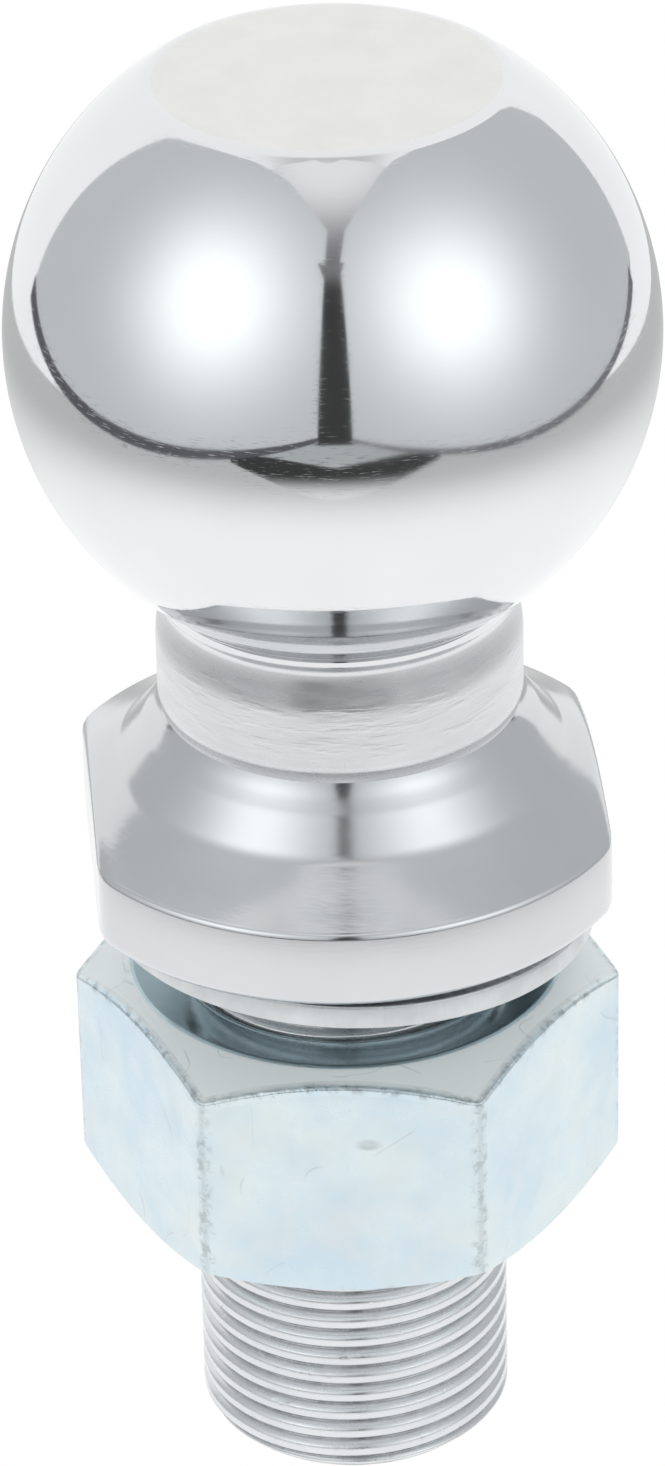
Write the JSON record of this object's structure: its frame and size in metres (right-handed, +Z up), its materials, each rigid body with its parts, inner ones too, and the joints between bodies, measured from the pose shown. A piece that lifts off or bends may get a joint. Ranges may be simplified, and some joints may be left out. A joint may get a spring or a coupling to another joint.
{
  "type": "trailer hitch ball",
  "caption": "Tow ball on a collared, threaded shank, with a split lock washer and a hex nut that screws up and down the thread.",
  "frame": {"origin": "centre of the shank's flat lower end, on the common axis of ball, collar and thread", "axes": "+Z up the shank to the ball; +X and -X are the outward normals of the collar's two wrench flats; the nut's face seen from the front looks along -Y, turned about 7 degrees"},
  "size_m": [0.05, 0.05, 0.119],
  "materials": {
    "polished_chrome": "mirror-polished chrome plate, satin on the neck and bright zinc-grey on the thread",
    "washer_zinc": "matt zinc plate with shear marks on its cut edge",
    "nut_zinc": "satin bright zinc plate, faintly blue, scuffed at its corners"
  },
  "bodies": {
    "ball_stud": {"ball_stud": "polished_chrome"},
    "lock_washer": {"lock_washer": "washer_zinc"},
    "hex_nut": {"hex_nut": "nut_zinc"}
  },
  "joints": [
    {"name": "nut_travel", "type": "slide", "parent": "ball_stud", "child": "lock_washer", "axis": [0, 0, 1], "range_m": [-0.02177, 0]},
    {"name": "nut_turn", "type": "hinge", "parent": "lock_washer", "child": "hex_nut", "pos_m": [0, 0, 0.0323], "axis": [0, 0, 1], "range_deg": [-4320, 0]}
  ],
  "couplings": [
    {"joint": "nut_turn", "follows": "nut_travel", "rad_per_m": 3463.2}
  ]
}
